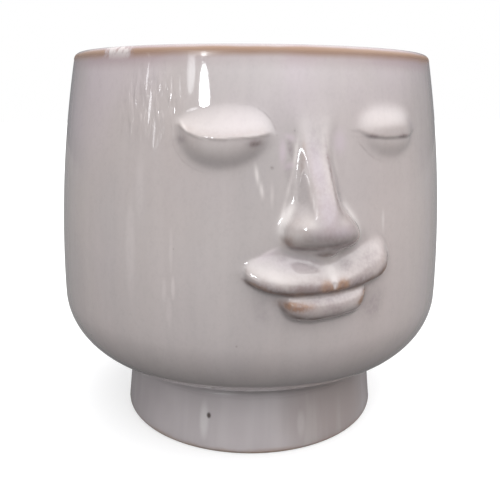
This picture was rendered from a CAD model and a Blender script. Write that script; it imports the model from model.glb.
import math

import bmesh
import bpy
import numpy as np
from mathutils import Matrix, Quaternion, Vector


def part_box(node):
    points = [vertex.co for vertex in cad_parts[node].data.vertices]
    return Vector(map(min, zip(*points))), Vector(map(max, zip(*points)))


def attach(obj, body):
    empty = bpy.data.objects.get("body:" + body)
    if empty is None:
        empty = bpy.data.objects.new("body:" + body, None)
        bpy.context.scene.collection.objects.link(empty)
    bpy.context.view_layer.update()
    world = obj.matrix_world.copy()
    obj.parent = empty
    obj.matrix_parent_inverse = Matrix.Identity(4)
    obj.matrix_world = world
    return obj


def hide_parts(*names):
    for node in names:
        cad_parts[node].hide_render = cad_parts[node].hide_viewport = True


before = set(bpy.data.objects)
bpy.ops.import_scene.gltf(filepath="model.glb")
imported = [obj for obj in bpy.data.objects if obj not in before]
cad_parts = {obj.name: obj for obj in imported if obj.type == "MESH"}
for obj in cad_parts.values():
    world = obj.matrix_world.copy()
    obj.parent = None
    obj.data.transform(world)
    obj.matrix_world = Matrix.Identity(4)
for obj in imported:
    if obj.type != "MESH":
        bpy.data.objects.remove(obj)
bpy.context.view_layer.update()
mm = 0.001


def boxInMm(node):
    return [[c / mm for c in corner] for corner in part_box(node)]


bowlLow, bowlHigh = boxInMm("bowl")
bowl = {
    "height": bowlHigh[2],
    "underside": bowlLow[2],
    "bellyRadius": bowlHigh[0],
    "rimRadius": 75.0,
    "cornerRadius": 29.0,
    "wall": 6.0,
    "floor": 8.0,
    "lipRound": 2.79,
    "drainRadius": 7.0,
    "drainRound": 0.8,
}
bowl["bellyHeight"] = bowl["underside"] + bowl["cornerRadius"]
bowl["neckRadius"] = bowl["bellyRadius"] - bowl["cornerRadius"]
bowl["floorTop"] = bowl["underside"] + bowl["floor"]
wallRise = bowl["height"] - bowl["bellyHeight"]
drawIn = bowl["bellyRadius"] - bowl["rimRadius"]
bowl["wallArc"] = (drawIn**2 + wallRise**2) / (2 * drawIn)


def wallRadius(z):
    lift = np.asarray(z, dtype=float) - bowl["bellyHeight"]
    upper = bowl["bellyRadius"] - bowl["wallArc"] + np.sqrt(bowl["wallArc"] ** 2 - lift**2)
    lower = bowl["neckRadius"] + np.sqrt(np.maximum(bowl["cornerRadius"] ** 2 - lift**2, 0))
    return np.where(lift >= 0, upper, lower)


# the face is a map of heights above the wall: across it in arc length, and up
relief = {
    "step": 0.25,  # spacing of the map
    "halfWidth": 56.0,
    "low": 62.0,
    "high": 147.0,
    "clayBite": 2.0,  # the clay pieces start this far inside the wall
    "noseFlow": 3.6,  # radius that the glaze pools to in corners
    "lipFlow": 1.2,
    "mouthFlow": 0.6,
    "noseFootFlow": 2.0,  # between the nose and the upper lip, fading in over these levels
    "noseFootFrom": 84.5,
    "noseFootTo": 88.0,
    "lipRound": 2.6,  # shape of the lips' undersides
    "backDepth": 0.5,  # of the pieces' backs inside the wall
    "edgeMelt": 0.28,  # softening of edges by the glaze
    "lowerMelt": 0.6,
    "noseMelt": 0.55,
    "ballMelt": 1.3,
}
# heights of the eyes' outlines are measured from their level
eyes = {
    "level": 130.0,
    "thinnest": 0.3,  # least height of a lid or an eye, where its outlines meet
    "overhang": 1.3,  # the lid goes on under its edge as far as this, for the blur
    "ballRound": 2.0,
    "left": {
        "middle": -33.0,
        "half": 16.4,
        "place": [-1.0, -0.88, -0.68, -0.36, 0.0, 0.36, 0.72, 0.90, 1.0],
        "top": [5.2, 6.6, 8.4, 10.0, 10.7, 10.5, 9.2, 6.6, 3.0],
        "edge": [4.6, 3.8, 1.9, 0.5, 0.2, 0.5, 1.0, 1.4, 1.7],
        "bottom": [0.6, -3.2, -6.6, -8.9, -9.4, -8.4, -5.0, -1.8, 0.6],
        "height": [0.0, 2.2, 4.0, 5.1, 5.4, 5.1, 4.1, 2.2, 0.0],
        "step": 0.4,
        "melt": 0.9,
        "swell": 1.65,
        "rollFrom": 0.76,
        "roll": 0.17,
    },
    "right": {
        "middle": 29.8,
        "half": 14.8,
        "place": [-1.0, -0.88, -0.68, -0.36, 0.0, 0.36, 0.72, 0.90, 1.0],
        "top": [4.0, 6.6, 8.6, 9.8, 10.2, 9.8, 8.6, 6.6, 4.0],
        "edge": [2.4, 1.6, 0.6, 0.0, -0.2, -0.1, 0.2, 0.9, 1.8],
        "bottom": [0.8, -0.8, -3.4, -6.0, -6.8, -6.2, -3.8, -1.0, 0.6],
        "height": [0.0, 1.6, 3.5, 4.8, 5.1, 4.7, 3.0, 1.2, 0.0],
        "step": 0.3,
        "melt": 1.9,
        "swell": 1.25,
        "rollFrom": 0.50,
        "roll": 0.58,
    },
}
noseSizes = {
    "bottom": 91.2,
    "length": 42.0,
    "width": 27.0,
    "tipHeight": 9.8,
    "ridgeWidth": 7.0,
    "crown": 0.6,  # the ridge is rounded by this much
    "crownFade": 2.0,  # and less where the ridge is low
    "thinnest": 0.1,  # least width of a flank
    "tipRound": 2.5,
    "tipFoot": 0.05,  # the tip is round from here up to its peak
    "tipPeak": 0.27,
    "roundTo": 0.46,  # above this the nose is a ridge with flat sides
    "level": [0.0, 0.05, 0.09, 0.16, 0.25, 0.33, 0.42, 0.62, 0.82, 0.95, 1.08, 1.20],
    "base": [0.45, 0.70, 0.90, 1.0, 0.94, 0.78, 0.65, 0.54, 0.49, 0.52, 0.66, 0.90],
    "ridge": [1.0, 1.2, 1.4, 1.4, 1.2, 1.05, 0.97, 0.97, 1.05, 1.15, 1.3, 1.5],
    "rise": [1.0, 1.0, 1.0, 1.0, 1.0, 0.93, 0.80, 0.46, 0.20, 0.075, 0.015, 0.0],
    "shift": [0.02, 0.02, 0.02, 0.02, -0.03, -0.05, -0.06, -0.09, -0.13, -0.13, -0.11, -0.10],
    "beadAt": (1.4, 93.6),  # small bead of clay under the tip
    "beadHalf": (4.4, 2.9),
    "beadHeight": 5.0,
}
upperLip = {
    "centre": 1.8,
    "width": 56.0,
    "bottomLevel": 78.7,
    "height": 12.3,
    "bulge": 5.5,
    "place": [-0.98, -0.96, -0.93, -0.865, -0.78, -0.70, -0.50, -0.26, 0.06, 0.30, 0.54, 0.82, 0.98],
    "top": [0.62, 0.68, 0.75, 0.88, 0.98, 1.05, 1.12, 1.04, 0.86, 1.08, 1.22, 1.06, 0.50],
    "bottom": [0.11, 0.09, 0.055, -0.01, -0.06, -0.08, -0.09, -0.07, -0.05, -0.09, -0.13, -0.09, 0.08],
    "fullness": [0.0, 0.24, 0.38, 0.53, 0.69, 0.825, 1.0, 0.96, 0.84, 0.80, 0.74, 0.52, -0.2],
    "crest": [0.42, 0.40, 0.38, 0.33, 0.28, 0.27, 0.27, 0.26, 0.26, 0.28, 0.29, 0.30, 0.34],
    "notchAt": 3.4,
    "notchTip": 80.4,
    "notchSlope": 0.22,
    "notchBack": 4.0,
    "notchSides": 3.0,
}
lowerLip = {
    "centre": 1.8,
    "width": 33.0,
    "bottomLevel": 68.3,
    "height": 8.2,
    "bulge": 4.8,
    "place": [-1.0, -0.80, -0.40, 0.0, 0.40, 0.80, 1.0],
    "top": [1.30, 1.52, 1.66, 1.66, 1.66, 1.56, 1.40],
    "bottom": [0.54, 0.20, -0.02, 0.0, 0.02, 0.18, 0.66],
    "fullness": [-0.2, 0.80, 1.0, 0.96, 0.96, 0.66, -0.2],
    "crest": [0.58, 0.50, 0.44, 0.43, 0.44, 0.50, 0.56],
}
smile = {"rise": 5.0, "tilt": 1.5, "width": 56.0}


def smoothThrough(xs, ys, x):
    # cubic through the stations, with slopes from their neighbours
    xs, ys = np.asarray(xs, float), np.asarray(ys, float)
    slopes = np.gradient(ys, xs)
    i = np.clip(np.searchsorted(xs, x) - 1, 0, len(xs) - 2)
    span = xs[i + 1] - xs[i]
    t = np.clip((x - xs[i]) / span, 0, 1)
    a = (1 + 2 * t) * (1 - t) ** 2 * ys[i] + t * (1 - t) ** 2 * span * slopes[i]
    return a + t * t * (3 - 2 * t) * ys[i + 1] + t * t * (t - 1) * span * slopes[i + 1]


def blurred(field, sigma):
    cells = sigma / relief["step"]
    reach = int(math.ceil(3 * cells))
    weights = np.exp(-0.5 * (np.arange(-reach, reach + 1) / cells) ** 2)
    weights /= weights.sum()
    for axis in (0, 1):
        pad = [(reach, reach) if a == axis else (0, 0) for a in (0, 1)]
        wide = np.pad(field, pad, mode="edge")
        size = field.shape[axis]
        field = sum(w * np.take(wide, range(k, k + size), axis=axis) for k, w in enumerate(weights))
    return field


def smoothStep(value, low, high):
    share = np.clip((value - low) / (high - low), 0, 1)
    return share * share * (3 - 2 * share)


def eyeForms(u, z, eye):
    # a lid that slopes out to its rolled edge, and the eye that falls back under it
    t = np.clip((u - eye["middle"]) / eye["half"], -1, 1)
    outlines = (smoothThrough(eye["place"], eye[k], t) for k in ("top", "edge", "bottom"))
    top, edge, bottom = (eyes["level"] + outline for outline in outlines)
    height = np.maximum(smoothThrough(eye["place"], eye["height"], t), 0)
    slope = np.clip((top - z) / np.maximum(top - edge, eyes["thinnest"]), 0, eyes["overhang"])
    fall = np.clip((z - bottom) / np.maximum(edge - bottom, eyes["thinnest"]), 0, 1)
    lid = height * slope ** eye["swell"] * (1 - eye["roll"] * smoothStep(slope, eye["rollFrom"], 1.0))
    ball = np.maximum(height * (1 - eye["roll"]) - eye["step"], 0) * (1 - (1 - fall) ** eyes["ballRound"])
    return blurred(lid, eye["melt"]), blurred(ball, relief["ballMelt"]), z > edge


def noseHeight(u, z):
    n = noseSizes
    level = (z - n["bottom"]) / n["length"]
    base = smoothThrough(n["level"], n["base"], level) * n["width"] / 2
    ridge = smoothThrough(n["level"], n["ridge"], level) * n["ridgeWidth"] / 2
    tip = np.clip((level - n["tipFoot"]) / (n["tipPeak"] - n["tipFoot"]), 0, 1)
    rise = smoothThrough(n["level"], n["rise"], level) * np.sqrt(1 - (1 - tip) ** n["tipRound"])
    aside = np.abs(u - smoothThrough(n["level"], n["shift"], level) * n["width"] / 2)
    wedge = np.clip((base - aside) / np.maximum(base - ridge, n["thinnest"]), 0, 1)
    bulb = np.sqrt(np.maximum(1 - (aside / base) ** 2, 0))
    roundShare = 1 - smoothStep(level, n["tipPeak"], n["roundTo"])
    h = n["tipHeight"] * rise * (wedge + roundShare * (bulb - wedge))
    crown = n["crown"] * np.minimum(rise * n["crownFade"], 1)
    h = h + crown * np.maximum(1 - (aside / ridge) ** 2, 0)
    h = np.where((level > n["tipFoot"]) & (level < n["level"][-1]) & (aside < base), h, -relief["clayBite"])
    away = ((u - n["beadAt"][0]) / n["beadHalf"][0]) ** 2 + ((z - n["beadAt"][1]) / n["beadHalf"][1]) ** 2
    bead = n["beadHeight"] * np.sqrt(np.maximum(1 - away, 0))
    return np.where(away < 1, np.maximum(h, bead), h)


def lipHeight(u, z, lip):
    t = (u - lip["centre"]) / (lip["width"] / 2)
    share = t * lip["width"] / smile["width"]
    lift = smile["rise"] * share**2 + smile["tilt"] * share
    low = lip["bottomLevel"] + lift + lip["height"] * smoothThrough(lip["place"], lip["bottom"], t)
    high = lip["bottomLevel"] + lift + lip["height"] * smoothThrough(lip["place"], lip["top"], t)
    bulge = lip["bulge"] * smoothThrough(lip["place"], lip["fullness"], t)
    crest = low + smoothThrough(lip["place"], lip["crest"], t) * (high - low)
    over = np.clip((z - crest) / (high - crest), 0, 1)
    under = np.clip((crest - z) / (crest - low), 0, 1)
    upper = bulge * (1 + np.cos(math.pi * over)) / 2  # fades into the wall
    lower = (bulge + relief["clayBite"]) * np.sqrt(1 - under ** relief["lipRound"]) - relief["clayBite"]
    h = np.where(z > crest, upper, lower)
    inside = (t > lip["place"][0]) & (t < lip["place"][-1]) & (over < 1)
    return np.where(inside, h, -relief["clayBite"])


def notchCeiling(u, z):
    # height above which the notch cuts the upper lip away: a steep-sided groove
    width = upperLip["notchSlope"] * (z - upperLip["notchTip"])
    aside = np.maximum(np.abs(u - upperLip["notchAt"]) - np.maximum(width, 0), 0)
    below = np.maximum(upperLip["notchTip"] - z, 0)
    return upperLip["notchBack"] + upperLip["notchSides"] * np.hypot(aside, below)


def rolledOver(field, radius):
    # closing by a ball of glaze: it fills corners and leaves the high forms alone
    reach = int(radius / relief["step"])
    offsets = [
        (i, j, math.sqrt(radius**2 - (i * i + j * j) * relief["step"] ** 2) - radius)
        for i in range(-reach, reach + 1)
        for j in range(-reach, reach + 1)
        if (i * i + j * j) * relief["step"] ** 2 <= radius**2
    ]
    rows, columns = field.shape
    wide = np.pad(field, reach, mode="edge")
    grown = np.full_like(field, -np.inf)
    for i, j, drop in offsets:
        part = wide[reach + i : reach + i + rows, reach + j : reach + j + columns]
        np.maximum(grown, part + drop, out=grown)
    wide = np.pad(grown, reach, mode="edge")
    closed = np.full_like(field, np.inf)
    for i, j, drop in offsets:
        part = wide[reach + i : reach + i + rows, reach + j : reach + j + columns]
        np.minimum(closed, part - drop, out=closed)
    return closed


uLine = np.arange(-relief["halfWidth"], relief["halfWidth"] + relief["step"] / 2, relief["step"])
zLine = np.arange(relief["low"], relief["high"] + relief["step"] / 2, relief["step"])
uMap, zMap = np.meshgrid(uLine, zLine)
leftLid, leftBall, leftOver = eyeForms(uMap, zMap, eyes["left"])
rightLid, rightBall, rightOver = eyeForms(uMap, zMap, eyes["right"])
noseForm = noseHeight(uMap, zMap)
noseTop = noseSizes["bottom"] + noseSizes["length"]  # above this only the glaze on the wall swells
hidden = -relief["clayBite"]
clay = {
    "left_eye": np.where(leftOver, hidden, leftBall),
    "right_eye": np.where(rightOver, hidden, rightBall),
    "left_eyelid": np.where(leftOver, leftLid, hidden),
    "right_eyelid": np.where(rightOver, rightLid, hidden),
    "nose": np.where(zMap < noseTop, noseForm, hidden),
    "upper_lip": lipHeight(uMap, zMap, upperLip),
    "lower_lip": lipHeight(uMap, zMap, lowerLip),
}
bareEyes = np.maximum(np.where(leftOver, leftLid, leftBall), np.where(rightOver, rightLid, rightBall))
bareNose = np.maximum(noseForm, 0)
softLower = blurred(np.maximum(clay["lower_lip"], 0), relief["lowerMelt"])
bareLips = np.maximum(clay["upper_lip"], softLower)
glazeNose = blurred(rolledOver(bareNose, relief["noseFlow"]), relief["noseMelt"])
glazeFace = np.maximum(glazeNose, rolledOver(bareLips, relief["lipFlow"]))
underNose = smoothStep(zMap, relief["noseFootFrom"], relief["noseFootTo"])
noseFoot = rolledOver(glazeFace, relief["noseFootFlow"])
glazeFace = rolledOver(glazeFace, relief["mouthFlow"])
glazeFace = glazeFace + underNose * (noseFoot - glazeFace)
onLip = zMap < noseSizes["bottom"] + relief["mouthFlow"]
glazeFace = np.where(onLip, np.minimum(glazeFace, notchCeiling(uMap, zMap)), glazeFace)
bare = np.maximum.reduce([bareEyes, bareNose, bareLips])
glazeEyes = blurred(bareEyes, relief["edgeMelt"])
glaze = np.maximum(blurred(np.maximum(glazeEyes, glazeFace), relief["edgeMelt"]), 0)
print("relief mapped, highest point", round(float(glaze.max()), 2), "mm")

# marks in the glaze on the face; each row is
# across, up, half width, half height, tilt in degrees and strength
marks = {
    "break": [  # thin glaze, where the brown clay shows
        (0.9, 81.0, 2.1, 2.4, 14, 0.95),
        (6.1, 81.4, 2.4, 2.2, -20, 0.95),
        (3.4, 79.9, 4.0, 1.6, 0, 0.95),
        (-19.0, 80.9, 7.5, 1.1, -22, 0.50),
        (-7.7, 79.2, 7.0, 1.0, -4, 0.55),
        (14.0, 80.6, 6.0, 1.0, 18, 0.50),
        (24.0, 84.3, 4.5, 1.1, 42, 0.55),
        (-9.2, 75.4, 4.8, 1.7, -4, 0.95),
        (14.0, 74.9, 2.0, 1.6, 30, 1.0),
        (16.4, 77.2, 1.6, 1.9, -36, 1.0),
        (-12.3, 97.0, 1.8, 2.0, -30, 0.4),
        (12.0, 97.4, 1.4, 1.4, 30, 0.4),
        (-6.6, 124.2, 0.7, 5.0, -6, 0.5),
    ],
    "dark": [  # sharp lower edges that the glaze has left
        (-23.4, 82.2, 2.4, 0.7, -32, 1.0),
        (-18.6, 80.3, 4.0, 0.7, -18, 1.0),
        (-12.5, 79.4, 5.0, 0.9, -8, 1.0),
        (-5.0, 79.5, 6.0, 0.9, 0, 0.9),
        (3.0, 79.5, 5.0, 0.9, 4, 0.7),
        (10.5, 80.0, 5.0, 0.9, 8, 0.9),
        (16.6, 81.4, 4.0, 1.0, 20, 1.0),
        (22.0, 83.7, 3.2, 1.0, 36, 1.0),
        (25.8, 87.0, 2.4, 1.0, 56, 1.0),
        (-12.6, 73.4, 2.4, 0.9, -52, 0.8),
        (-5.0, 80.8, 9.0, 1.8, -2, 0.35),
        (-8.6, 70.9, 4.0, 1.0, -20, 1.0),
        (-2.0, 69.9, 5.0, 1.0, 0, 1.0),
        (5.5, 69.8, 5.0, 1.0, 6, 1.0),
        (12.0, 71.2, 3.8, 1.0, 20, 1.0),
        (16.0, 73.5, 2.6, 0.9, 52, 0.8),
        (-12.0, 96.9, 2.2, 1.0, -44, 0.6),
        (-7.4, 95.0, 3.8, 0.9, -4, 1.0),
        (1.2, 92.1, 3.4, 0.9, 0, 0.9),
        (8.6, 96.1, 4.4, 0.9, 18, 0.9),
        (-22.2, 128.7, 1.6, 0.7, 10, 0.4),
        (24.0, 129.9, 6.6, 0.40, -4, 0.25),
        (35.0, 130.2, 3.0, 0.40, 8, 0.4),
        (-16.6, 120.9, 0.5, 0.5, 0, 0.6),
    ],
    "violet": [  # dense glaze, grey to purple
        (-22.4, 128.9, 2.2, 1.1, 12, 1.0),
        (-47.2, 129.6, 2.4, 1.4, 0, 0.5),
        (20.2, 130.6, 2.6, 0.8, 0, 0.7),
        (35.4, 130.2, 2.8, 0.9, 0, 0.9),
        (-10.4, 127.0, 1.0, 2.8, 10, 0.55),
        (-11.0, 119.0, 1.2, 4.4, 10, 0.35),
        (1.9, 122.0, 0.8, 8.0, 4, 0.85),
        (3.6, 109.5, 0.9, 5.0, 15, 0.70),
        (-2.0, 129.0, 3.6, 7.0, 0, 0.40),
        (-8.0, 112.0, 2.0, 9.0, -6, 0.26),
        (6.0, 110.0, 2.4, 10.0, 12, 0.50),
        (-1.2, 112.0, 3.0, 13.0, 4, 0.36),
        (16.5, 88.8, 8.0, 4.6, 20, 0.55),
        (-11.0, 89.4, 10.0, 3.0, -8, 0.34),
        (-2.5, 83.4, 4.0, 2.4, 0, 0.40),
        (-16.0, 81.0, 9.0, 2.4, -17, 0.85),
        (-5.0, 81.0, 9.0, 2.8, -2, 0.95),
        (8.6, 88.0, 4.0, 2.8, 10, 0.62),
        (12.0, 82.0, 7.0, 2.4, 18, 0.90),
        (22.5, 84.8, 4.0, 2.0, 38, 0.70),
        (-7.0, 73.5, 8.0, 3.2, -10, 0.50),
        (3.0, 73.8, 6.0, 3.2, 4, 0.62),
        (2.0, 76.8, 14.0, 2.4, 6, 0.68),
        (21.8, 71.6, 4.6, 6.6, -24, 0.42),
        (-20.0, 72.6, 2.8, 4.6, 16, 0.24),
        (-13.4, 90.8, 4.4, 1.6, -4, 0.50),
        (-2.8, 87.6, 3.0, 1.7, 0, 0.48),
        (3.5, 95.8, 9.0, 2.4, 0, 0.75),
        (8.4, 98.6, 3.6, 2.6, 12, 0.45),
        (-8.5, 95.2, 4.0, 1.6, -10, 0.25),
        (2.0, 98.8, 10.0, 2.4, 0, 0.45),
    ],
    "lilac": [  # faintly purple
        (-2.6, 121.0, 2.6, 9.0, 6, 0.9),
        (-0.8, 107.0, 3.2, 8.0, 4, 0.9),
        (-9.5, 89.4, 9.0, 2.8, -8, 0.50),
        (1.5, 101.0, 7.0, 2.6, 0, 0.8),
    ],
    "haze": [  # milky and faintly purple
        (7.4, 129.0, 2.4, 3.8, 0, 0.9),
        (-13.0, 126.0, 1.2, 4.2, 0, 1.0),
        (-11.0, 121.4, 2.0, 1.1, 20, 0.9),
        (-10.6, 130.6, 2.0, 1.1, -20, 0.9),
        (-17.6, 92.2, 4.0, 1.2, 28, 0.6),
    ],
    "drip": [  # white glaze that fills the notch in the upper lip
        (3.2, 89.0, 2.0, 1.8, 0, 1.0),
        (3.3, 86.3, 1.5, 2.2, 0, 1.0),
        (3.5, 83.9, 1.1, 2.2, 0, 1.0),
        (3.5, 82.0, 0.7, 1.7, 0, 1.0),
    ],
    "milk": [  # thick white glaze
        (-39.6, 130.6, 2.6, 0.40, -16, 0.9),
        (-31.6, 130.4, 6.0, 0.34, 0, 0.8),
        (-22.6, 131.1, 4.2, 0.34, 4, 0.8),
        (-45.6, 133.4, 2.6, 0.60, -46, 0.9),
        (-22.4, 85.1, 3.0, 0.45, -29, 0.9),
        (-17.6, 92.9, 3.2, 0.55, 28, 0.9),
        (-5.6, 119.0, 0.5, 5.2, 8, 0.9),
        (-4.5, 109.8, 0.5, 5.2, 6, 0.9),
        (-8.7, 125.4, 0.55, 5.2, -9, 0.7),
        (-10.7, 115.5, 0.55, 5.2, -14, 0.6),
        (-12.9, 106.8, 0.6, 4.4, -14, 0.6),
        (2.0, 90.6, 4.6, 1.2, 0, 0.9),
        (-33.0, 126.4, 10.0, 3.0, 0, 0.25),
        (-5.7, 91.0, 6.0, 0.9, -14, 0.7),
        (-15.6, 84.0, 8.0, 3.0, -16, 0.45),
        (-6.5, 88.8, 6.0, 2.6, -8, 0.45),
        (-10.2, 99.6, 3.0, 2.2, 0, 0.5),
        (-21.6, 118.6, 0.6, 3.0, 8, 1.0),
        (-20.0, 113.6, 0.6, 2.4, 8, 0.9),
        (-16.6, 112.0, 0.5, 3.4, 0, 0.4),
        (25.6, 101.3, 0.5, 3.4, 0, 0.5),
        (-6.2, 103.4, 3.2, 2.4, 20, 0.35),
    ],
}
painting = {
    "markFall": 1.2,  # higher for sharper marks
    "poolDepth": 0.8,  # glaze as deep as this is milky
    "poolMilk": 0.75,
    "edgeReach": 1.4,  # edges stand out from what lies within this reach
    "edgeHeight": 0.25,
    "edgeBreak": 0.12,
    "breakLeast": 0.7,
    "breakOnEdge": 0.5,
    "dripGain": 1.3,
    "dripMilk": 0.25,
}


def markField(rows):
    field = np.zeros_like(uMap)
    for across, up, halfWidth, halfHeight, tilt, strength in rows:
        c, s = math.cos(math.radians(tilt)), math.sin(math.radians(tilt))
        du, dz = uMap - across, zMap - up
        away = ((c * du + s * dz) / halfWidth) ** 2 + ((c * dz - s * du) / halfHeight) ** 2
        field = np.maximum(field, strength * np.exp(-(away ** painting["markFall"])))
    return field


filled = np.clip((glaze - blurred(bare, relief["edgeMelt"])) / painting["poolDepth"], 0, 1)
edges = np.clip((glaze - blurred(glaze, painting["edgeReach"])) / painting["edgeHeight"], 0, 1)
drip = np.clip(painting["dripGain"] * markField(marks["drip"]), 0, 1)
breaks = markField(marks["break"]) * (painting["breakLeast"] + painting["breakOnEdge"] * edges)
breaks = np.clip(breaks + painting["edgeBreak"] * edges, 0, 1)
milk = painting["poolMilk"] * filled * (1 - drip) + markField(marks["milk"]) + painting["dripMilk"] * drip
paint = {
    "glazeBreak": breaks * (1 - drip),
    "glazeDark": markField(marks["dark"]) * (1 - drip),
    "glazeViolet": markField(marks["violet"]) * (1 - drip),
    "glazeLilac": markField(marks["lilac"]) * (1 - drip),
    "glazeHaze": markField(marks["haze"]),
    "glazeMilk": np.clip(milk, 0, 1),
}
print("marks placed:", ", ".join(f"{len(rows)} {name}" for name, rows in marks.items()))


def sampled(field, u, z):
    x = np.clip((u - uLine[0]) / relief["step"], 0, len(uLine) - 1.001)
    y = np.clip((z - zLine[0]) / relief["step"], 0, len(zLine) - 1.001)
    i, j = y.astype(int), x.astype(int)
    a, b = y - i, x - j
    top = field[i, j] * (1 - b) + field[i, j + 1] * b
    return top * (1 - a) + (field[i + 1, j] * (1 - b) + field[i + 1, j + 1] * b) * a


# arc length on the wall is measured at this radius all over the face
arcRadius = 82.0
slopeAcross = np.gradient(glaze, relief["step"], axis=1)
slopeUp = np.gradient(glaze, relief["step"], axis=0)


def onFace(u, z, height):
    turn = u / arcRadius
    reach = wallRadius(z) + height
    return np.stack([reach * np.sin(turn), -reach * np.cos(turn), z], axis=-1) * mm


def faceNormal(u, z):
    turn = u / arcRadius
    probe = 0.05
    wallSlope = (wallRadius(z + probe) - wallRadius(z - probe)) / (2 * probe)
    up = sampled(slopeUp, u, z) + wallSlope
    out = np.stack([np.sin(turn), -np.cos(turn), 0 * u], axis=-1)
    across = np.stack([np.cos(turn), np.sin(turn), 0 * u], axis=-1)
    n = out - sampled(slopeAcross, u, z)[:, None] * across - up[:, None] * np.array([0, 0, 1.0])
    return n / np.linalg.norm(n, axis=1)[:, None]


def paintMesh(mesh, u, z, shown):
    # marks as attributes of the points: shown picks the points that lie on the face
    for name, field in paint.items():
        values = np.zeros(len(mesh.vertices), dtype=np.float32)
        values[shown] = sampled(field, u, z)
        mesh.attributes.new(name, "FLOAT", "POINT").data.foreach_set("value", values)


def bench(tree):
    # short ways to add nodes and to feed their sockets
    def add(kind, **settings):
        node = tree.nodes.new(kind)
        for key, value in settings.items():
            setattr(node, key, value)
        return node

    def feed(socket, value):
        if isinstance(value, bpy.types.NodeSocket):
            tree.links.new(value, socket)
        else:
            socket.default_value = value

    def calc(operation, *values):
        node = add("ShaderNodeMath", operation=operation)
        for socket, value in zip(node.inputs, values):
            feed(socket, value)
        return node.outputs[0]

    return add, feed, calc


def splitUp(add, feed, vector):
    node = add("ShaderNodeSeparateXYZ")
    feed(node.inputs[0], vector)
    return node.outputs


# one tree of nodes turns every round piece
def makeLatheTree():
    tree = bpy.data.node_groups.new("turnedPiece", "GeometryNodeTree")
    for name, kind in (
        ("Profile", "NodeSocketObject"),
        ("Rows", "NodeSocketInt"),
        ("Columns", "NodeSocketInt"),
        ("Fine Share", "NodeSocketFloat"),
        ("Fine Half Angle", "NodeSocketFloat"),
        ("Finish", "NodeSocketMaterial"),
    ):
        tree.interface.new_socket(name, in_out="INPUT", socket_type=kind)
    tree.interface.new_socket("Turned", in_out="OUTPUT", socket_type="NodeSocketGeometry")
    add, feed, calc = bench(tree)
    given = add("NodeGroupInput").outputs

    grid = add("GeometryNodeMeshGrid")
    feed(grid.inputs["Vertices X"], calc("ADD", given["Columns"], 1))
    feed(grid.inputs["Vertices Y"], given["Rows"])
    place = splitUp(add, feed, add("GeometryNodeInputPosition").outputs[0])
    along = calc("ADD", place["X"], 0.5)
    down = calc("ADD", place["Y"], 0.5)
    row = calc("ROUND", calc("MULTIPLY", down, calc("SUBTRACT", given["Rows"], 1)))

    profile = add("GeometryNodeObjectInfo")
    feed(profile.inputs["Object"], given["Profile"])
    pick = add("GeometryNodeSampleIndex", data_type="FLOAT_VECTOR", domain="POINT")
    feed(pick.inputs["Geometry"], profile.outputs["Geometry"])
    feed(pick.inputs["Value"], add("GeometryNodeInputPosition").outputs[0])
    feed(pick.inputs["Index"], row)
    point = splitUp(add, feed, pick.outputs["Value"])

    # columns stand closer together across the face, and wider round the back
    half, share = given["Fine Half Angle"], given["Fine Share"]
    nearShare = calc("SUBTRACT", calc("MULTIPLY", calc("DIVIDE", along, share), 2), 1)
    nearTurn = calc("MULTIPLY", half, nearShare)
    rest = calc("DIVIDE", calc("SUBTRACT", along, share), calc("SUBTRACT", 1, share))
    farSpan = calc("SUBTRACT", 2 * math.pi, calc("MULTIPLY", half, 2))
    farTurn = calc("ADD", half, calc("MULTIPLY", rest, farSpan))
    isFar = calc("GREATER_THAN", along, share)
    turn = calc("ADD", nearTurn, calc("MULTIPLY", isFar, calc("SUBTRACT", farTurn, nearTurn)))

    spot = add("ShaderNodeCombineXYZ")
    feed(spot.inputs["X"], calc("MULTIPLY", point["X"], calc("SINE", turn)))
    outY = calc("MULTIPLY", point["X"], calc("COSINE", turn))
    feed(spot.inputs["Y"], calc("MULTIPLY", outY, -1))
    feed(spot.inputs["Z"], point["Z"])
    move = add("GeometryNodeSetPosition")
    feed(move.inputs["Geometry"], grid.outputs["Mesh"])
    feed(move.inputs["Position"], spot.outputs[0])
    weld = add("GeometryNodeMergeByDistance")
    feed(weld.inputs["Distance"], 1e-6)
    feed(weld.inputs["Geometry"], move.outputs[0])
    smooth = add("GeometryNodeSetShadeSmooth")
    feed(smooth.inputs["Geometry"], weld.outputs[0])
    real = add("GeometryNodeRealizeInstances")
    feed(real.inputs["Geometry"], smooth.outputs[0])
    finish = add("GeometryNodeSetMaterial")
    feed(finish.inputs["Geometry"], real.outputs[0])
    feed(finish.inputs["Material"], given["Finish"])
    feed(add("NodeGroupOutput").inputs[0], finish.outputs[0])
    return tree


latheTree = makeLatheTree()


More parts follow.
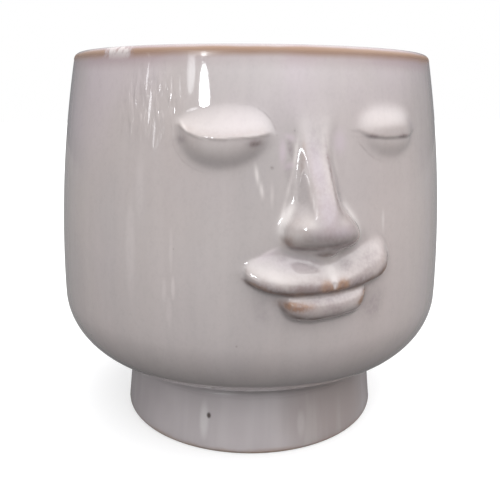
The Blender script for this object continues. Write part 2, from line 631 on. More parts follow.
def turned(name, profile, columns, fineShare, fineHalfAngle, finish):
    outline = bpy.data.meshes.new(name + "Profile")
    outline.from_pydata([(r * mm, 0, z * mm) for r, z in profile], [], [])
    guide = bpy.data.objects.new(name + "Profile", outline)
    piece = bpy.data.objects.new(name, bpy.data.meshes.new(name))
    bpy.context.collection.objects.link(piece)
    bpy.context.collection.objects.link(guide)
    modifier = piece.modifiers.new("turning", "NODES")
    modifier.node_group = latheTree
    values = {
        "Profile": guide,
        "Rows": len(profile),
        "Columns": columns,
        "Fine Share": fineShare,
        "Fine Half Angle": fineHalfAngle,
        "Finish": finish,
    }
    for item in latheTree.interface.items_tree:
        if item.in_out == "INPUT":
            modifier[item.identifier] = values[item.name]
    bpy.context.view_layer.update()
    evaluated = piece.evaluated_get(bpy.context.evaluated_depsgraph_get())
    mesh = bpy.data.meshes.new_from_object(evaluated)
    piece.modifiers.remove(modifier)
    piece.data = mesh
    bpy.data.objects.remove(guide)
    work = bmesh.new()
    work.from_mesh(mesh)
    bmesh.ops.remove_doubles(work, verts=work.verts, dist=1e-7)
    bmesh.ops.dissolve_degenerate(work, dist=1e-8, edges=work.edges)
    bmesh.ops.recalc_face_normals(work, faces=work.faces)
    work.to_mesh(mesh)
    work.free()
    return piece


def arcPoints(centre, radius, start, end, count):
    # part of a circle in a profile, without its first point; angles in degrees
    turns = np.radians(np.linspace(start, end, count + 1)[1:])
    return [(centre[0] + radius * math.cos(t), centre[1] + radius * math.sin(t)) for t in turns]


# effects that several finishes share
def newGroup(name, inputs, output):
    group = bpy.data.node_groups.new(name, "ShaderNodeTree")
    for label, value in inputs.items():
        socket = group.interface.new_socket(label, in_out="INPUT", socket_type="NodeSocketFloat")
        socket.default_value = value
    group.interface.new_socket(output, in_out="OUTPUT", socket_type="NodeSocketFloat")
    add, feed, calc = bench(group)
    return group, add, feed, calc, add("NodeGroupInput").outputs, add("NodeGroupOutput").inputs[0]


def ranged(add, feed, value, low, high, start, end):
    # smooth step of a value from one range to another
    node = add("ShaderNodeMapRange", interpolation_type="SMOOTHSTEP")
    settings = {"Value": value, "From Min": low, "From Max": high, "To Min": start, "To Max": end}
    for label, setting in settings.items():
        feed(node.inputs[label], setting)
    return node.outputs["Result"]


def makeSoftClouds():
    # clouds by size in spots per metre; a small stretch draws them out along the pot's axis
    inputs = {"Size": 20.0, "Stretch": 1.0, "Seed": 0.0, "Detail": 3.0}
    group, add, feed, calc, given, result = newGroup("softClouds", inputs, "Cloud")
    scale = add("ShaderNodeCombineXYZ")
    feed(scale.inputs["X"], given["Size"])
    feed(scale.inputs["Y"], given["Size"])
    feed(scale.inputs["Z"], calc("MULTIPLY", given["Size"], given["Stretch"]))
    spread = add("ShaderNodeVectorMath", operation="MULTIPLY_ADD")
    feed(spread.inputs[0], add("ShaderNodeTexCoord").outputs["Object"])
    feed(spread.inputs[1], scale.outputs[0])
    feed(spread.inputs[2], given["Seed"])
    noise = add("ShaderNodeTexNoise")
    feed(noise.inputs["Vector"], spread.outputs[0])
    feed(noise.inputs["Scale"], 1.0)
    feed(noise.inputs["Detail"], given["Detail"])
    feed(result, ranged(add, feed, noise.outputs["Fac"], 0.3, 0.7, 0.0, 1.0))
    return group


def makePinholes():
    # small round pits in a share of the cells of a fine pattern
    inputs = {"Size": 240.0, "Share": 0.06, "Radius": 0.16}
    group, add, feed, calc, given, result = newGroup("pinholes", inputs, "Pit")
    cells = add("ShaderNodeTexVoronoi")
    feed(cells.inputs["Vector"], add("ShaderNodeTexCoord").outputs["Object"])
    feed(cells.inputs["Scale"], given["Size"])
    tint = add("ShaderNodeSeparateColor")
    feed(tint.inputs[0], cells.outputs["Color"])
    chosen = calc("LESS_THAN", tint.outputs[0], given["Share"])
    pit = ranged(add, feed, cells.outputs["Distance"], 0.0, given["Radius"], 1.0, 0.0)
    feed(result, calc("MULTIPLY", chosen, pit))
    return group


def makeRaggedLevel():
    # 1 below a level on the pot, 0 above it, with an edge that wanders
    inputs = {"Level": 0.0, "Softness": 0.0005, "Wander": 0.001, "Spots": 130.0}
    group, add, feed, calc, given, result = newGroup("raggedLevel", inputs, "Below")
    place = add("ShaderNodeTexCoord").outputs["Object"]
    noise = add("ShaderNodeTexNoise")
    feed(noise.inputs["Vector"], place)
    feed(noise.inputs["Scale"], given["Spots"])
    feed(noise.inputs["Detail"], 4.0)
    sway = calc("MULTIPLY", calc("SUBTRACT", noise.outputs["Fac"], 0.5), given["Wander"])
    level = splitUp(add, feed, place)["Z"]
    away = calc("SUBTRACT", calc("ADD", level, sway), given["Level"])
    reach = given["Softness"]
    feed(result, ranged(add, feed, away, calc("MULTIPLY", reach, -1.0), reach, 1.0, 0.0))
    return group


def makePlacedSpot():
    # 1 at a place on the pot and 0 from its reach on, all in millimetres; stretch draws it out upwards
    inputs = {"X": 0.0, "Y": 0.0, "Z": 0.0, "Reach": 10.0, "Core": 0.3, "Stretch": 1.0}
    group, add, feed, calc, given, result = newGroup("placedSpot", inputs, "Spot")
    point = splitUp(add, feed, add("ShaderNodeTexCoord").outputs["Object"])
    offset = add("ShaderNodeCombineXYZ")
    for axis in "XYZ":
        away = calc("SUBTRACT", calc("MULTIPLY", point[axis], 1 / mm), given[axis])
        feed(offset.inputs[axis], calc("DIVIDE", away, given["Stretch"]) if axis == "Z" else away)
    length = add("ShaderNodeVectorMath", operation="LENGTH")
    feed(length.inputs[0], offset.outputs[0])
    share = calc("DIVIDE", length.outputs["Value"], given["Reach"])
    feed(result, ranged(add, feed, share, given["Core"], 1.0, 1.0, 0.0))
    return group


softClouds, pinholes = makeSoftClouds(), makePinholes()
raggedLevel, placedSpot = makeRaggedLevel(), makePlacedSpot()


coatRoughness = 0.03


def newFinish(name, roughness, coat):
    material = bpy.data.materials.new(name)
    material.use_nodes = True
    shader = material.node_tree.nodes["Principled BSDF"]
    shader.inputs["Roughness"].default_value = roughness
    shader.inputs["Coat Weight"].default_value = coat
    shader.inputs["Coat Roughness"].default_value = coatRoughness
    return material, shader


def raised(add, feed, shader, height, depth):
    node = add("ShaderNodeBump")
    feed(node.inputs["Height"], height)
    feed(node.inputs["Distance"], depth)
    feed(shader.inputs["Normal"], node.outputs[0])


def layering(tree):
    # short ways to use the effects and to lay colours over each other
    add, feed, calc = bench(tree)

    def effect(group, **values):
        node = add("ShaderNodeGroup", node_tree=group)
        for label, value in values.items():
            feed(node.inputs[label], value)
        return node.outputs[0]

    def spot(place, reach, stretch=1.0):
        x, y, z = place
        return effect(placedSpot, X=x, Y=y, Z=z, Reach=reach, Stretch=stretch)

    def mixed(share, first, second):
        node = add("ShaderNodeMix", data_type="RGBA")
        for index, value in ((0, share), (6, first), (7, second)):
            feed(node.inputs[index], (*value, 1) if isinstance(value, tuple) else value)
        return node.outputs[2]

    def covered(mask, strength, colour, layer):
        return mixed(calc("MULTIPLY", mask, strength), colour, layer)

    return effect, spot, mixed, covered


glazeLook = {
    "warm": (0.565, 0.498, 0.474),
    "cool": (0.490, 0.448, 0.440),
    "lilac": (0.505, 0.430, 0.482),
    "haze": (0.620, 0.530, 0.570),
    "pale": (0.660, 0.600, 0.585),
    "milk": (0.780, 0.722, 0.700),
    "violet": (0.215, 0.170, 0.182),
    "brown": (0.370, 0.235, 0.165),
    "band": (0.320, 0.180, 0.105),
    "rose": (0.360, 0.250, 0.260),
    "rust": (0.255, 0.150, 0.108),
    "pit": (0.300, 0.255, 0.245),
    "dark": (0.120, 0.085, 0.076),
    "roughness": 0.05,
    "runRoughness": 0.03,  # more where the glaze runs
    "bareRoughness": 0.25,  # and where the clay shows
    "coat": 1.0,
    "bandTop": 0.1591,  # brown band under the rim, in metres up the pot
    "bandFoot": 0.1567,
    "roseFrom": 0.1510,  # rose shade that fades out below the band
    "roseTo": 0.1562,
    "patchAt": (-61.3, -43.2, 157.6),  # white patch over the band, in millimetres
    "patchReach": 10.5,
    "patchClears": (0.10, 0.70),  # range of the patch over which the band goes
    "patchWhitens": (0.3, 1.0),
    "hazeAt": {(-19.5, -73.5, 150.0): 30.0, (-72.0, -22.0, 140.0): 34.0},  # lilac haze: place and reach
    "hazeFrom": 0.128,  # and faintly all round towards the rim
    "hazeTo": 0.156,
    "rippleDepth": 0.00012,
    "rippleHeight": 0.16,  # heights in shares of that depth
    "dripHeight": 1.8,
    "pitHeight": 0.5,
    "rippleAt": (-53.5, -57.0, 140.4),  # patch of drips that break up the light
    "rippleReach": 17.0,
    "runsAt": {  # pale runs: across and up the wall, then reach, stretch and strength
        (-49.8, 79.2): (1.0, 6.0, 0.75),
        (-53.1, 77.8): (1.3, 5.0, 0.45),
        (-50.5, 92.5): (1.0, 14.0, 0.40),
        (-51.4, 70.3): (1.6, 5.0, 0.35),
        (-67.0, 92.8): (3.2, 9.0, 0.40),
        (-63.1, 113.4): (2.4, 8.0, 0.35),
        (25.6, 101.3): (1.0, 5.0, 0.35),
    },
    "skirtFrom": 0.031,  # darker towards the foot
    "skirtTo": 0.044,
    "bellyTo": 0.100,
    "share": {  # how much of each layer shows
        "highHaze": 0.5,
        "highHazeLeast": 0.25,
        "spotHaze": 0.5,
        "spotHazeLeast": 0.15,
        "runs": 0.18,
        "skirt": 0.40,
        "belly": 0.11,
        "pits": 0.6,
        "grain": 0.08,
        "broken": 0.35,
        "brokenLeast": 0.65,
        "lilac": 0.8,
        "haze": 0.8,
        "violet": 0.72,
        "dark": 0.8,
        "rose": 0.45,
        "roseHaze": 0.6,
        "roseLeast": 0.7,
        "patchLeast": 0.4,
        "band": 0.95,
        "bandInPatch": 0.1,
        "white": 0.7,
        "dull": 0.85,
    },
}


def makeBodyGlaze():
    look, share = glazeLook, glazeLook["share"]
    material, shader = newFinish("bodyGlaze", look["roughness"], look["coat"])
    add, feed, calc = bench(material.node_tree)
    effect, spot, mixed, covered = layering(material.node_tree)
    level = splitUp(add, feed, add("ShaderNodeTexCoord").outputs["Object"])["Z"]

    def painted(name):
        return add("ShaderNodeAttribute", attribute_name=name).outputs["Fac"]

    clouds = effect(softClouds, Size=17.0, Stretch=0.6, Seed=3.0)
    haze = effect(softClouds, Size=24.0, Stretch=0.8, Seed=11.0)
    runs = effect(softClouds, Size=150.0, Stretch=0.045, Seed=5.0)
    colour = mixed(clouds, look["cool"], look["warm"])
    upHigh = ranged(add, feed, level, look["hazeFrom"], look["hazeTo"], share["highHazeLeast"], 1.0)
    colour = covered(calc("MULTIPLY", haze, upHigh), share["highHaze"], colour, look["haze"])
    drifts = calc("MULTIPLY_ADD", haze, share["spotHaze"], share["spotHazeLeast"])
    for place, reach in look["hazeAt"].items():
        colour = covered(spot(place, reach), drifts, colour, look["haze"])
    colour = covered(runs, share["runs"], colour, look["pale"])
    for (across, up), (reach, stretch, strength) in look["runsAt"].items():
        place = onFace(across, up, 0) / mm
        colour = covered(spot(place, reach, stretch), strength, colour, look["pale"])
    skirt = ranged(add, feed, level, look["skirtFrom"], look["skirtTo"], share["skirt"], 0.0)
    belly = ranged(add, feed, level, look["skirtTo"], look["bellyTo"], share["belly"], 0.0)
    colour = mixed(calc("ADD", skirt, belly), colour, look["violet"])
    pits = effect(pinholes, Size=210.0, Share=0.035, Radius=0.14)
    colour = covered(pits, share["pits"], colour, look["pit"])
    fine = effect(softClouds, Size=420.0, Stretch=0.7, Seed=8.0)
    grain = effect(softClouds, Size=1000.0, Stretch=0.8, Seed=17.0)
    colour = covered(calc("MULTIPLY", fine, grain), share["grain"], colour, look["violet"])

    # marks on the face, broken up by the fine clouds
    broken = calc("MULTIPLY_ADD", calc("ADD", fine, grain), share["broken"], share["brokenLeast"])
    colour = mixed(painted("glazeMilk"), colour, look["milk"])
    colour = covered(painted("glazeLilac"), share["lilac"], colour, look["lilac"])
    colour = covered(painted("glazeHaze"), share["haze"], colour, look["haze"])
    dense = calc("MULTIPLY", painted("glazeViolet"), broken)
    colour = covered(dense, share["violet"], colour, look["violet"])
    colour = covered(painted("glazeDark"), share["dark"], colour, look["dark"])
    breaks = calc("MINIMUM", calc("MULTIPLY", painted("glazeBreak"), broken), 1.0)
    colour = mixed(breaks, colour, mixed(fine, look["rust"], look["brown"]))

    # the glaze runs thin in a band under the rim, over a rose shade
    shade = ranged(add, feed, level, look["roseFrom"], look["roseTo"], 0.0, share["rose"])
    shade = calc("MULTIPLY", shade, calc("MULTIPLY_ADD", haze, share["roseHaze"], share["roseLeast"]))
    colour = mixed(calc("MINIMUM", shade, 1.0), colour, look["rose"])
    band = effect(raggedLevel, Level=look["bandTop"], Softness=0.0006, Wander=0.0010, Spots=60.0)
    under = effect(raggedLevel, Level=look["bandFoot"], Softness=0.0016, Wander=0.0016, Spots=50.0)
    patch = spot(look["patchAt"], look["patchReach"])
    patch = calc("MULTIPLY", patch, calc("ADD", fine, share["patchLeast"]))
    clear = ranged(add, feed, patch, *look["patchClears"], 1.0, share["bandInPatch"])
    band = calc("MULTIPLY", calc("SUBTRACT", band, under), clear)
    colour = covered(band, share["band"], colour, mixed(clouds, look["band"], look["brown"]))
    white = ranged(add, feed, patch, *look["patchWhitens"], 0.0, share["white"])
    colour = covered(white, calc("SUBTRACT", 1.0, under), colour, look["milk"])
    feed(shader.inputs["Base Color"], colour)

    roughness = calc("MULTIPLY_ADD", runs, look["runRoughness"], look["roughness"])
    bare = calc("MAXIMUM", band, breaks)
    feed(shader.inputs["Roughness"], calc("MULTIPLY_ADD", bare, look["bareRoughness"], roughness))
    dulled = calc("ADD", calc("ADD", dense, breaks), calc("ADD", band, shade))
    dull = calc("MULTIPLY", calc("MINIMUM", dulled, 1.0), share["dull"])
    feed(shader.inputs["Coat Weight"], calc("SUBTRACT", look["coat"], dull))
    ripple = effect(softClouds, Size=190.0, Stretch=0.16, Seed=2.0, Detail=1.0)
    drips = effect(softClouds, Size=480.0, Stretch=0.20, Seed=6.0, Detail=1.0)
    swell = effect(softClouds, Size=45.0, Stretch=0.5, Seed=14.0, Detail=1.0)
    dripped = calc("MULTIPLY", spot(look["rippleAt"], look["rippleReach"]), look["dripHeight"])
    height = calc("MULTIPLY_ADD", ripple, look["rippleHeight"], swell)
    height = calc("MULTIPLY_ADD", drips, dripped, height)
    height = calc("SUBTRACT", height, calc("MULTIPLY", pits, look["pitHeight"]))
    raised(add, feed, shader, height, look["rippleDepth"])
    return material


footLook = {
    "warm": (0.525, 0.478, 0.482),
    "cool": (0.440, 0.396, 0.402),
    "streak": (0.640, 0.605, 0.598),
    "brown": (0.360, 0.300, 0.280),
    "speck": (0.110, 0.090, 0.085),
    "rust": (0.340, 0.225, 0.170),
    "clay": (0.520, 0.410, 0.320),
    "drips": {  # place, then reach, stretch and strength
        (-33.4, -47.3, 13.4): (2.7, 4.5, 0.9),
        (5.3, -58.0, 11.6): (2.4, 3.5, 0.3),
    },
    "speckAt": (-31.6, -48.3, 15.9),
    "speckReach": 1.3,
    "speckStretch": 1.4,
    "brownAt": (22.0, -54.0, 14.0),  # thinner glaze to the right
    "brownReach": 34.0,
    "roughness": 0.18,
    "clayRoughness": 0.6,  # more on bare clay
    "poolRoughness": 0.5,
    "coat": 0.10,
    "bareBelow": 0.0012,  # unglazed standing ring
    "thinBelow": 0.0022,
    "pooledAbove": 0.0258,  # dark glaze in the groove under the bowl
    "rippleDepth": 0.00014,
    "rippleHeight": 0.2,  # heights in shares of that depth
    "gritHeight": 0.5,
    "streakFocus": 3.0,  # higher for fewer and sharper streaks
    "share": {"brown": 0.65, "streaks": 0.2, "pits": 0.5, "pooled": 0.55, "thin": 0.5, "thinLeast": 0.1},
}


def makeFootGlaze():
    look, share = footLook, footLook["share"]
    material, shader = newFinish("footGlaze", look["roughness"], look["coat"])
    add, feed, calc = bench(material.node_tree)
    effect, spot, mixed, covered = layering(material.node_tree)
    clouds = effect(softClouds, Size=26.0, Stretch=0.7, Seed=21.0)
    streaks = effect(softClouds, Size=130.0, Stretch=0.05, Seed=26.0)
    fine = effect(softClouds, Size=420.0, Stretch=0.7, Seed=8.0)
    colour = mixed(clouds, look["cool"], look["warm"])
    colour = covered(spot(look["brownAt"], look["brownReach"]), share["brown"], colour, look["brown"])
    colour = covered(calc("POWER", streaks, look["streakFocus"]), share["streaks"], colour, look["streak"])
    for place, (reach, stretch, strength) in look["drips"].items():
        colour = covered(spot(place, reach, stretch), strength, colour, look["streak"])
    pits = effect(pinholes, Size=210.0, Share=0.05, Radius=0.14)
    colour = covered(pits, share["pits"], colour, look["rust"])
    colour = mixed(spot(look["speckAt"], look["speckReach"], look["speckStretch"]), colour, look["speck"])
    belowPool = effect(raggedLevel, Level=look["pooledAbove"], Softness=0.0028, Wander=0.0010)
    pooled = calc("SUBTRACT", 1.0, belowPool)
    colour = covered(pooled, share["pooled"], colour, look["speck"])
    thin = effect(raggedLevel, Level=look["thinBelow"], Softness=0.0010, Wander=0.0024)
    bareClay = effect(raggedLevel, Level=look["bareBelow"], Softness=0.0004, Wander=0.0012)
    shows = calc("MULTIPLY_ADD", clouds, share["thin"], share["thinLeast"])
    colour = covered(thin, shows, colour, look["rust"])
    colour = mixed(bareClay, colour, mixed(fine, look["clay"], look["rust"]))
    feed(shader.inputs["Base Color"], colour)
    roughness = calc("MULTIPLY_ADD", bareClay, look["clayRoughness"], look["roughness"])
    feed(shader.inputs["Roughness"], calc("MULTIPLY_ADD", pooled, look["poolRoughness"], roughness))
    feed(shader.inputs["Coat Weight"], calc("MULTIPLY", belowPool, look["coat"]))
    ripple = effect(softClouds, Size=170.0, Stretch=0.12, Seed=29.0, Detail=1.0)
    swell = effect(softClouds, Size=45.0, Stretch=0.5, Seed=31.0, Detail=1.0)
    grit = calc("MULTIPLY", fine, calc("MULTIPLY", bareClay, look["gritHeight"]))
    height = calc("ADD", calc("MULTIPLY_ADD", ripple, look["rippleHeight"], swell), grit)
    raised(add, feed, shader, height, look["rippleDepth"])
    return material


rubberLook = {
    "dark": (0.016, 0.016, 0.018),
    "worn": (0.050, 0.049, 0.050),
    "roughness": 0.62,
    "dustRoughness": 0.15,  # more where it is dusty
    "grainDepth": 0.00005,
    "share": {"dust": 0.6, "scuffs": 0.4},
}


def makeStopperRubber():
    look, share = rubberLook, rubberLook["share"]
    material, shader = newFinish("stopperRubber", look["roughness"], 0.0)
    add, feed, calc = bench(material.node_tree)
    effect, _, _, covered = layering(material.node_tree)
    dust = effect(softClouds, Size=120.0, Stretch=1.0, Seed=41.0)
    grain = effect(softClouds, Size=1500.0, Stretch=1.0, Seed=43.0)
    scuffs = effect(pinholes, Size=420.0, Share=0.10, Radius=0.30)
    colour = covered(dust, share["dust"], look["dark"], look["worn"])
    colour = covered(scuffs, share["scuffs"], colour, look["worn"])
    feed(shader.inputs["Base Color"], colour)
    feed(shader.inputs["Roughness"], calc("MULTIPLY_ADD", dust, look["dustRoughness"], look["roughness"]))
    raised(add, feed, shader, grain, look["grainDepth"])
    return material


bodyGlaze, footGlaze, stopperRubber = makeBodyGlaze(), makeFootGlaze(), makeStopperRubber()
print("finishes made:", bodyGlaze.name, footGlaze.name, stopperRubber.name)

faceGrid = {
    "columns": 212,
    "backColumns": 130,
    "rowStep": 0.5,
    "margin": 1.0,  # left free at the top and foot of the map
    "sideMargin": 2.0,
    "pieceFrom": 0.02,  # height from which a cell belongs to a piece
    "slack": 0.1,
}
faceTop = relief["high"] - faceGrid["margin"]
faceFoot = relief["low"] + faceGrid["margin"]
faceRows = np.arange(faceTop, faceFoot - faceGrid["slack"], -faceGrid["rowStep"])


def bowlProfile():
    b = bowl
    inner = b["bellyRadius"] - b["wall"]
    innerCorner = b["cornerRadius"] - b["floor"]
    innerDraw = b["rimRadius"] - b["wall"]
    innerArc = ((inner - innerDraw) ** 2 + wallRise**2) / (2 * (inner - innerDraw))
    hole, r = b["drainRadius"], b["drainRound"]
    points = [(hole, b["underside"] + r), (hole, b["floorTop"] - r)]
    points += arcPoints((hole + r, b["floorTop"] - r), r, 180, 90, 4)
    for share in (0.25, 0.5, 0.75, 1.0):
        points.append((hole + r + share * (inner - innerCorner - hole - r), b["floorTop"]))
    points += arcPoints((inner - innerCorner, b["bellyHeight"]), innerCorner, -90, 0, 12)
    lipZ = b["height"] - b["lipRound"]
    for z in np.linspace(b["bellyHeight"], lipZ, 17)[1:]:
        lift = z - b["bellyHeight"]
        points.append((inner - innerArc + math.sqrt(innerArc**2 - lift**2), z))
    innerLip = points[-1][0]
    outerLip = float(wallRadius(lipZ))
    points += arcPoints((innerLip + b["lipRound"], lipZ), b["lipRound"], 180, 90, 8)
    points += arcPoints((outerLip - b["lipRound"], lipZ), b["lipRound"], 90, 0, 8)
    for z in np.linspace(lipZ, faceTop, num=8)[1:-1]:
        points.append((float(wallRadius(z)), z))
    for z in faceRows:
        points.append((float(wallRadius(z)), z))
    points += arcPoints((b["neckRadius"], b["bellyHeight"]), b["cornerRadius"], 0, -90, 24)
    for share in (0.3, 0.6, 1.0):
        points.append((b["neckRadius"] + share * (hole + r - b["neckRadius"]), b["underside"]))
    points += arcPoints((hole + r, b["underside"] + r), r, -90, -180, 4)
    return points


fineHalfAngle = (relief["halfWidth"] - faceGrid["sideMargin"]) / arcRadius
columns = faceGrid["columns"] + faceGrid["backColumns"]
fineShare = faceGrid["columns"] / columns
bowlPiece = turned("glazedBowl", bowlProfile(), columns, fineShare, fineHalfAngle, bodyGlaze)
print("bowl turned:", len(bowlPiece.data.vertices), "points")


def gridOnFace():
    # the same columns and rows as the bowl's wall has across the face
    u = np.linspace(-1, 1, faceGrid["columns"] + 1) * fineHalfAngle * arcRadius
    return np.meshgrid(u, faceRows)


gridU, gridZ = gridOnFace()
cellU = (gridU[:-1, :-1] + gridU[:-1, 1:]) / 2
cellZ = (gridZ[:-1, :-1] + gridZ[1:, :-1]) / 2
wallCells = np.full(cellU.shape, faceGrid["pieceFrom"])
stack = np.stack([wallCells] + [sampled(field, cellU, cellZ) for field in clay.values()])
owner = np.argmax(stack, axis=0)  # of each cell: 0 is the wall, 1 and up the pieces of the face
around = np.pad(owner > 0, 1)
hiddenWall = around[:-1, :-1] & around[1:, :-1] & around[:-1, 1:] & around[1:, 1:]


def dressWall():
    mesh = bowlPiece.data
    count = len(mesh.vertices)
    co = np.empty(count * 3)
    mesh.vertices.foreach_get("co", co)
    co = co.reshape(-1, 3) / mm
    radius = np.hypot(co[:, 0], co[:, 1])
    u = np.arctan2(co[:, 0], -co[:, 1]) * arcRadius
    z = co[:, 2]
    halfSpan, slack = fineHalfAngle * arcRadius, faceGrid["slack"]
    onWall = (np.abs(u) <= halfSpan + slack) & (z >= faceFoot - slack) & (z <= faceTop + slack)
    onWall &= np.abs(radius - wallRadius(np.clip(z, faceFoot, faceTop))) < bowl["wall"] / 2
    u, z = u[onWall], z[onWall]
    col = np.rint((u / halfSpan + 1) / 2 * faceGrid["columns"]).astype(int)
    row = np.rint((faceTop - z) / faceGrid["rowStep"]).astype(int)
    col = np.clip(col, 0, gridU.shape[1] - 1)
    row = np.clip(row, 0, gridU.shape[0] - 1)
    height = np.where(hiddenWall[row, col], 0, sampled(glaze, u, z))
    co[onWall] = onFace(u, z, height) / mm
    mesh.vertices.foreach_set("co", (co * mm).ravel())
    mesh.update()
    normals = np.empty(count * 3)
    mesh.vertices.foreach_get("normal", normals)
    normals = normals.reshape(-1, 3)
    normals[onWall] = faceNormal(u, z)
    mesh.normals_split_custom_set_from_vertices(normals.tolist())
    paintMesh(mesh, u, z, onWall)


dressWall()
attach(bowlPiece, "pot")
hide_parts("bowl")


# a piece of the face is a skin of glaze in front and a back just inside the wall
def facePiece(index, node, finish):
    quad = owner == index
    used = np.zeros(gridU.shape, bool)
    for i in (0, 1):
        for j in (0, 1):
            used[i : i + quad.shape[0], j : j + quad.shape[1]] |= quad
    number = np.full(gridU.shape, -1)
    number[used] = np.arange(used.sum())
    u, z = gridU[used], gridZ[used]
    front = onFace(u, z, sampled(glaze, u, z))
    back = onFace(u, z, np.full(u.shape, -relief["backDepth"]))
    count = len(u)
    rows, cols = np.nonzero(quad)
    a, b = number[rows, cols], number[rows, cols + 1]
    c, d = number[rows + 1, cols + 1], number[rows + 1, cols]
    skinFaces = np.stack([a, d, c, b], axis=1).tolist()
    backFaces = np.stack([a + count, b + count, c + count, d + count], axis=1).tolist()
    rim = {}
    for face in skinFaces:
        for p, q in zip(face, face[1:] + face[:1]):
            if (q, p) in rim:
                del rim[(q, p)]
            else:
                rim[(p, q)] = True
    sides = [(q, p, p + count, q + count) for p, q in rim]
    mesh = bpy.data.meshes.new(node)
    mesh.from_pydata(np.concatenate([front, back]).tolist(), [], skinFaces + backFaces + sides)
    mesh.polygons.foreach_set("use_smooth", [True] * len(mesh.polygons))
    mesh.materials.append(finish)
    skin = faceNormal(u, z)
    mesh.normals_split_custom_set_from_vertices(np.concatenate([skin, -skin]).tolist())
    paintMesh(mesh, u, z, np.arange(2 * count) < count)
    piece = bpy.data.objects.new("glazed_" + node, mesh)
    bpy.context.collection.objects.link(piece)
    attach(piece, "pot")
    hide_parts(node)
    return piece


for index, node in enumerate(clay, start=1):
    facePiece(index, node, bodyGlaze)
print("face pieces made:", ", ".join(clay))

foot = {
    "wall": 9.0,
    "edgeRound": 2.0,
    "topRadius": bowl["neckRadius"],
    "bottomRadius": 59.5,
    "grooveHeight": 6.0,
    "grooveDepth": 0.7,
    "edgeLoop": 1.6,  # rows beside the rounded edge
    "columns": 192,
}


def footProfile():
    f = foot
    top, r = bowl["underside"], f["edgeRound"]
    lean = (f["bottomRadius"] - f["topRadius"]) / top
    points = []
    for z in np.linspace(top, top - f["grooveHeight"], 9):
        dip = 1 - (2 * (top - z) / f["grooveHeight"] - 1) ** 2
        points.append((f["bottomRadius"] - lean * z - f["grooveDepth"] * dip, z))
    points += [(f["bottomRadius"] - lean * z, z) for z in np.linspace(points[-1][1], r, 7)[1:]]
    bottomOut = points[-1][0]
    points += arcPoints((bottomOut - r, r), r, 0, -90, 8)
    bottomIn = bottomOut - f["wall"]
    loop = f["edgeLoop"] * r
    points += [(bottomOut - loop, 0), (bottomIn + loop, 0), (bottomIn + r, 0)]
    points += arcPoints((bottomIn + r, r), r, -90, -180, 8)
    points += [(f["bottomRadius"] - f["wall"] - lean * z, z) for z in np.linspace(r, top, 5)[1:]]
    return points + [points[0]]


footPiece = turned(
    "glazedFoot", footProfile(), foot["columns"], fineShare=0.5, fineHalfAngle=math.pi / 2, finish=footGlaze
)
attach(footPiece, "pot")
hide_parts("foot_ring")

# the stopper keeps its own shape
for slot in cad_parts["drain_stopper"].material_slots:
    slot.material = stopperRubber
print("foot and stopper done")

view = {
    "distance": 276.0,
    "height": 143.9,
    "azimuth": -16.5,
    "pitch": 14.47,
    "roll": 0.41,
    "focalPixels": 596.0,
    "imagePixels": 500.0,
    "centreX": 250.23,
    "centreY": 248.73,
}


def makeCamera():
    camera = bpy.data.cameras.new("camera")
    camera.sensor_fit = "HORIZONTAL"
    camera.sensor_width = 36.0
    camera.lens = camera.sensor_width * view["focalPixels"] / view["imagePixels"]
    camera.clip_start = 0.01
    camera.shift_x = (view["imagePixels"] / 2 - view["centreX"]) / view["imagePixels"]
    camera.shift_y = (view["centreY"] - view["imagePixels"] / 2) / view["imagePixels"]
    thing = bpy.data.objects.new("camera", camera)
    bpy.context.collection.objects.link(thing)
    turn = math.radians(view["azimuth"])
    side, ahead = view["distance"] * math.sin(turn), view["distance"] * math.cos(turn)
    place = Vector((side, -ahead, view["height"])) * mm
    tilt = Matrix.Rotation(math.radians(90 - view["pitch"]), 4, "X")
    spin = Matrix.Rotation(math.radians(view["roll"]), 4, "Z")
    thing.matrix_world = Matrix.Translation(place) @ Matrix.Rotation(turn, 4, "Z") @ tilt @ spin
    bpy.context.scene.camera = thing


def towards(azimuth, elevation):
    # direction by azimuth from the camera's side, positive to its right, and by elevation
    turn, up = math.radians(view["azimuth"] + azimuth), math.radians(elevation)
    return Vector((math.sin(turn) * math.cos(up), -math.cos(turn) * math.cos(up), math.sin(up)))


# small bright panels that show as highlights in the glaze: azimuth, elevation, width, height, lean, power
panels = {
    "windowStrip": (-26, 17.5, 0.095, 0.26, 14, 1.6),
    "paleStrip": (-35, 23, 0.085, 0.12, 14, 0.08),
    "sparkHigh": (-62.5, 20, 0.020, 0.08, 0, 0.022),
    "sparkMid": (-59, 15.5, 0.022, 0.10, 0, 0.045),
    "sparkLow": (-55, 11.5, 0.022, 0.08, 0, 0.022),
}
studio = {
    "aim": (0, 0, 0.09),
    "panelDistance": 1.0,
    "panelColour": (0.94, 0.97, 1.0),
    "keyFrom": (30, 41),  # broad soft light, with little from low down
    "keyStrength": 2.41,
    "keyFocus": 1.05,
    "keyFloor": 0.12,
    "keyFull": 0.52,
    "backFrom": (180, 55),
    "backStrength": 0.9,
    "around": (0.064, 0.066, 0.076),
    "mirrored": 0.18,  # share of the white background in reflections
    "floorShade": (0.070, 0.066, 0.065),
    "floorPale": (0.56, 0.56, 0.56),
    "floorGlow": 0.51,
    "floorRoughness": 0.8,
    "floorMirrored": 0.11,
    "floorHalf": 3.0,
}


def makePanel(name, azimuth, elevation, width, height, lean, power):
    lamp = bpy.data.lights.new(name, "AREA")
    lamp.shape = "ELLIPSE"
    lamp.size, lamp.size_y = width, height
    lamp.energy = power
    lamp.color = studio["panelColour"]
    thing = bpy.data.objects.new(name, lamp)
    bpy.context.collection.objects.link(thing)
    offset = towards(azimuth, elevation) * studio["panelDistance"]
    thing.location = Vector(studio["aim"]) + offset
    facing = (-offset).to_track_quat("-Z", "Y")
    thing.rotation_euler = (facing @ Quaternion((0, 0, 1), math.radians(lean))).to_euler()
    thing.visible_camera = False


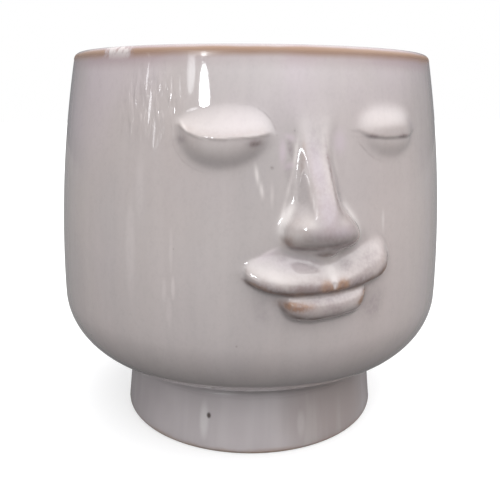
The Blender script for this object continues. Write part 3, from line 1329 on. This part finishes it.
def backgroundShare(add, calc, mirrored):
    # 1 for what the camera sees, and a small share in reflections
    path = add("ShaderNodeLightPath").outputs
    return calc("MAXIMUM", path["Is Camera Ray"], calc("MULTIPLY", path["Is Glossy Ray"], mirrored))


def makeFloor():
    s = studio["floorHalf"]
    mesh = bpy.data.meshes.new("floor")
    mesh.from_pydata([(-s, -s, 0), (s, -s, 0), (s, s, 0), (-s, s, 0)], [], [(0, 1, 2, 3)])
    floor = bpy.data.objects.new("floor", mesh)
    bpy.context.collection.objects.link(floor)
    material, shader = newFinish("paleFloor", studio["floorRoughness"], 0.0)
    add, feed, calc = bench(material.node_tree)
    _, _, mixed, _ = layering(material.node_tree)
    seen = backgroundShare(add, calc, studio["floorMirrored"])
    feed(shader.inputs["Base Color"], mixed(seen, studio["floorShade"], studio["floorPale"]))
    feed(shader.inputs["Emission Color"], (1, 1, 1, 1))
    feed(shader.inputs["Emission Strength"], calc("MULTIPLY", seen, studio["floorGlow"]))
    mesh.materials.append(material)


def makeWorld():
    world = bpy.data.worlds.new("studio")
    bpy.context.scene.world = world
    world.use_nodes = True
    add, feed, calc = bench(world.node_tree)
    direction = add("ShaderNodeTexCoord").outputs["Generated"]
    level = splitUp(add, feed, direction)["Z"]
    lift = ranged(add, feed, level, studio["keyFloor"], studio["keyFull"], 0.0, 1.0)

    def glow(source, strength):
        facing = add("ShaderNodeVectorMath", operation="DOT_PRODUCT")
        feed(facing.inputs[0], direction)
        feed(facing.inputs[1], towards(*source))
        lobe = calc("POWER", calc("MAXIMUM", facing.outputs["Value"], 0.0), studio["keyFocus"])
        return calc("MULTIPLY", calc("MULTIPLY", lobe, lift), strength)

    def sky(colour, strength):
        node = add("ShaderNodeBackground")
        feed(node.inputs["Color"], (*colour, 1))
        feed(node.inputs["Strength"], strength)
        return node.outputs[0]

    key = glow(studio["keyFrom"], studio["keyStrength"])
    lobes = calc("ADD", key, glow(studio["backFrom"], studio["backStrength"]))
    both = add("ShaderNodeAddShader")
    feed(both.inputs[0], sky((1, 1, 1), lobes))
    feed(both.inputs[1], sky(studio["around"], 1.0))
    choose = add("ShaderNodeMixShader")
    feed(choose.inputs[0], backgroundShare(add, calc, studio["mirrored"]))
    feed(choose.inputs[1], both.outputs[0])
    feed(choose.inputs[2], sky((1, 1, 1), 1.0))
    feed(world.node_tree.nodes["World Output"].inputs["Surface"], choose.outputs[0])


makeCamera()
makeFloor()
makeWorld()
for name, settings in panels.items():
    makePanel(name, *settings)
bpy.context.scene.view_settings.view_transform = "Standard"
print("camera and light set")
